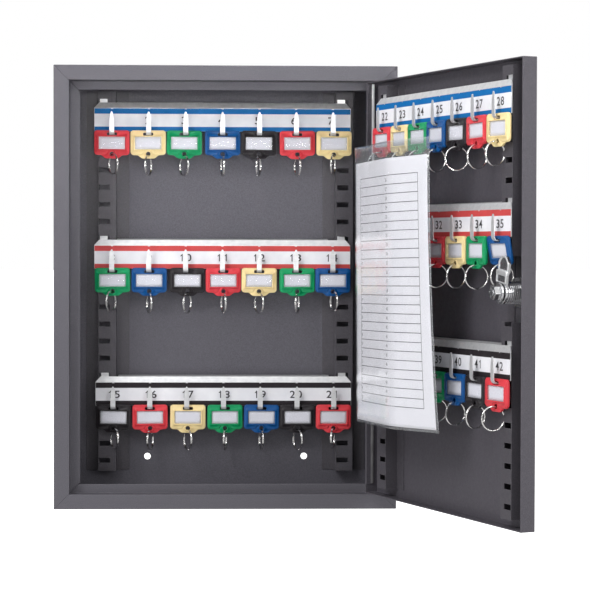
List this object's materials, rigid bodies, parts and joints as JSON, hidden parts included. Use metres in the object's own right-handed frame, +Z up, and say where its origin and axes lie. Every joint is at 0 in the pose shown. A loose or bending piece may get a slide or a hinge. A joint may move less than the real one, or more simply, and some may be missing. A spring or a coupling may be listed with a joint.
{
  "type": "wall key cabinet",
  "caption": "Shallow wall-mounted steel key cabinet with an inset door on a piano hinge, a cam lock, slotted uprights, numbered hook rails and hanging coloured key tags with split rings.",
  "frame": {"origin": "centre of the cabinet's outer back face, which lies on the wall", "axes": "+Y into the wall, +Z up, +X to the right as seen from the front, on the hinge side"},
  "size_m": [0.3836, 0.3394, 0.388],
  "materials": {
    "shell_coat": "textured graphite powder coat",
    "inside_coat": "textured graphite powder coat",
    "door_coat": "textured graphite powder coat",
    "zinc": "zinc-plated sheet steel",
    "plated": "nickel-plated, bright",
    "lock_metal": "nickel-plated zinc casting",
    "ring_steel": "nickel-plated spring steel",
    "label_blue": "printed vinyl, blue and white bands",
    "label_red": "printed vinyl, red and white bands",
    "label_black": "printed vinyl, black and white bands",
    "tag_red": "moulded plastic, semi-gloss; the row mixes five colours",
    "tag_green": "moulded plastic, semi-gloss; the row mixes five colours",
    "tag_black": "moulded plastic, semi-gloss; the row mixes five colours",
    "insert_paper": "plain card, matte",
    "clear_window": "clear plastic",
    "clear_film": "clear flexible film",
    "index_paper": "ruled paper, matte"
  },
  "bodies": {
    "case": {"shell_left": "shell_coat", "shell_right": "shell_coat", "shell_top": "shell_coat", "shell_bottom": "shell_coat", "back_panel": "inside_coat", "upright_case_left": "inside_coat", "upright_case_right": "inside_coat", "hinge_leaf_case": "plated", "hinge_pin": "plated"},
    "door": {"door_pan": "door_coat", "hem_strip": "plated", "upright_door_left": "door_coat", "upright_door_right": "door_coat", "hinge_leaf_door": "plated", "lock_body": "lock_metal", "lock_clip": "zinc", "index_sleeve": "clear_film"},
    "cam": {"lock_plug": "lock_metal", "lock_cam": "zinc", "cam_washer": "zinc", "cam_nut": "zinc"},
    "index_card": {"index_card": "index_paper"},
    "rail_1": {"rail_1": "zinc", "label_strip_1": "label_blue"},
    "tag_row_1": {"tags_1": "tag_red", "tag_inserts_1": "insert_paper", "tag_windows_1": "clear_window", "split_rings_1": "ring_steel"},
    "rail_2": {"rail_2": "zinc", "label_strip_2": "label_red"},
    "tag_row_2": {"tags_2": "tag_green", "tag_inserts_2": "insert_paper", "tag_windows_2": "clear_window", "split_rings_2": "ring_steel"},
    "rail_3": {"rail_3": "zinc", "label_strip_3": "label_black"},
    "tag_row_3": {"tags_3": "tag_black", "tag_inserts_3": "insert_paper", "tag_windows_3": "clear_window", "split_rings_3": "ring_steel"},
    "rail_4": {"rail_4": "zinc", "label_strip_4": "label_blue"},
    "tag_row_4": {"tags_4": "tag_red", "tag_inserts_4": "insert_paper", "tag_windows_4": "clear_window", "split_rings_4": "ring_steel"},
    "rail_5": {"rail_5": "zinc", "label_strip_5": "label_red"},
    "tag_row_5": {"tags_5": "tag_green", "tag_inserts_5": "insert_paper", "tag_windows_5": "clear_window", "split_rings_5": "ring_steel"},
    "rail_6": {"rail_6": "zinc", "label_strip_6": "label_black"},
    "tag_row_6": {"tags_6": "tag_black", "tag_inserts_6": "insert_paper", "tag_windows_6": "clear_window", "split_rings_6": "ring_steel"}
  },
  "joints": [
    {"name": "door_hinge", "type": "hinge", "parent": "case", "child": "door", "pos_m": [0.1354, -0.0825, 0], "axis": [0, 0, 1], "range_deg": [-111.8, 58]},
    {"name": "cam_turn", "type": "hinge", "parent": "door", "child": "cam", "pos_m": [0.22729, -0.31899, 0.0015], "axis": [0.9285, 0.3714, 0], "range_deg": [-8, 82]},
    {"name": "card_slide", "type": "slide", "parent": "door", "child": "index_card", "axis": [0, 0, 1], "range_m": [0, 0.06]},
    {"name": "rail_lift_1", "type": "slide", "parent": "case", "child": "rail_1", "axis": [0, 0, 1], "range_m": [0, 0.003]},
    {"name": "rail_lift_2", "type": "slide", "parent": "case", "child": "rail_2", "axis": [0, 0, 1], "range_m": [0, 0.003]},
    {"name": "rail_lift_3", "type": "slide", "parent": "case", "child": "rail_3", "axis": [0, 0, 1], "range_m": [0, 0.003]},
    {"name": "rail_lift_4", "type": "slide", "parent": "door", "child": "rail_4", "axis": [0, 0, 1], "range_m": [0, 0.003]},
    {"name": "rail_lift_5", "type": "slide", "parent": "door", "child": "rail_5", "axis": [0, 0, 1], "range_m": [0, 0.003]},
    {"name": "rail_lift_6", "type": "slide", "parent": "door", "child": "rail_6", "axis": [0, 0, 1], "range_m": [0, 0.003]},
    {"name": "tag_swing_1", "type": "hinge", "parent": "rail_1", "child": "tag_row_1", "pos_m": [-0.0031, -0.0191, 0.1404], "axis": [-1, 0, 0], "range_deg": [0, 5]},
    {"name": "tag_swing_2", "type": "hinge", "parent": "rail_2", "child": "tag_row_2", "pos_m": [-0.0031, -0.0191, 0.01648], "axis": [-1, 0, 0], "range_deg": [0, 5]},
    {"name": "tag_swing_3", "type": "hinge", "parent": "rail_3", "child": "tag_row_3", "pos_m": [-0.002, -0.0191, -0.10744], "axis": [-1, 0, 0], "range_deg": [0, 5]},
    {"name": "tag_swing_4", "type": "hinge", "parent": "rail_4", "child": "tag_row_4", "pos_m": [0.16908, -0.22487, 0.1371], "axis": [-0.3714, 0.9285, 0], "range_deg": [0, 3]},
    {"name": "tag_swing_5", "type": "hinge", "parent": "rail_5", "child": "tag_row_5", "pos_m": [0.16908, -0.22487, 0.04416], "axis": [-0.3714, 0.9285, 0], "range_deg": [-0.5, 0.5]},
    {"name": "tag_swing_6", "type": "hinge", "parent": "rail_6", "child": "tag_row_6", "pos_m": [0.16908, -0.22487, -0.06427], "axis": [-0.3714, 0.9285, 0], "range_deg": [0, 3]}
  ]
}
